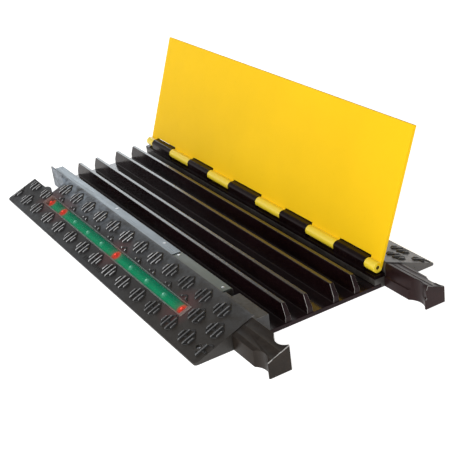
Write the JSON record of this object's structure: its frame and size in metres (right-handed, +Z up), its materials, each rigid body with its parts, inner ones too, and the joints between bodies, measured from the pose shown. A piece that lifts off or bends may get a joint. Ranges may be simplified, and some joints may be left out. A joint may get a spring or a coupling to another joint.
{
  "type": "cable protector ramp",
  "caption": "Modular drive-over cable ramp section with sloped sides, open cable channels under a hinged lid, a warning light strip and dog-bone connectors for joining sections end to end.",
  "frame": {"origin": "On the ground, at the centre of the ramp section's length and width, connectors not counted", "axes": "+X along the cables towards the male connectors, +Y across the ramp towards the hinge side, +Z up"},
  "size_m": [1.025, 0.502, 0.2779],
  "materials": {
    "black_urethane": "matte charcoal cast polyurethane",
    "channel_urethane": "smooth near-black cast polyurethane",
    "connector_urethane": "smooth charcoal cast polyurethane",
    "yellow_urethane": "satin safety yellow cast polyurethane",
    "steel": "zinc plated",
    "circuit_board": "green board",
    "red_light": "clear red dome",
    "green_light": "clear green dome",
    "clear_lens": "clear polycarbonate",
    "lead_jacket": "matte black jacket",
    "driver_case": "potted plastic case",
    "grey_strip": "light blue-grey wear strip",
    "plate": "grey-green coated plate"
  },
  "bodies": {
    "base": {"channel_base": "channel_urethane", "corner_screw": "steel", "front_arm_screw_1": "steel", "front_arm_screw_2": "steel", "front_connector": "connector_urethane", "front_ramp": "black_urethane", "front_ramp_screw_1": "steel", "front_ramp_screw_2": "steel", "front_ramp_screw_3": "steel", "front_ramp_screw_4": "steel", "front_ramp_screw_5": "steel", "green_led_1": "green_light", "green_led_2": "green_light", "green_led_3": "green_light", "green_led_4": "green_light", "green_led_5": "green_light", "green_led_6": "green_light", "hinge_pin": "steel", "hinge_rail": "channel_urethane", "led_board": "circuit_board", "led_driver": "driver_case", "led_lead": "lead_jacket", "led_lens": "clear_lens", "ledge_strip": "grey_strip", "lens_cap_left": "clear_lens", "lens_cap_right": "clear_lens", "name_plate": "plate", "plate_rivet_1": "steel", "plate_rivet_2": "steel", "rear_arm_screw_1": "steel", "rear_arm_screw_2": "steel", "rear_connector": "connector_urethane", "rear_ramp": "black_urethane", "rear_ramp_screw_1": "steel", "rear_ramp_screw_2": "steel", "rear_ramp_screw_3": "steel", "rear_ramp_screw_4": "steel", "rear_ramp_screw_5": "steel", "red_led_1": "red_light", "red_led_2": "red_light", "red_led_3": "red_light", "red_led_4": "red_light", "strip_screw_1": "steel", "strip_screw_2": "steel"},
    "lid": {"lid": "yellow_urethane", "pin_plug_left": "yellow_urethane", "pin_plug_right": "yellow_urethane"}
  },
  "joints": [
    {"name": "lid_hinge", "type": "hinge", "parent": "base", "child": "lid", "pos_m": [0, 0.1275, 0.038], "axis": [1, 0, 0], "range_deg": [0, 110.5]}
  ]
}
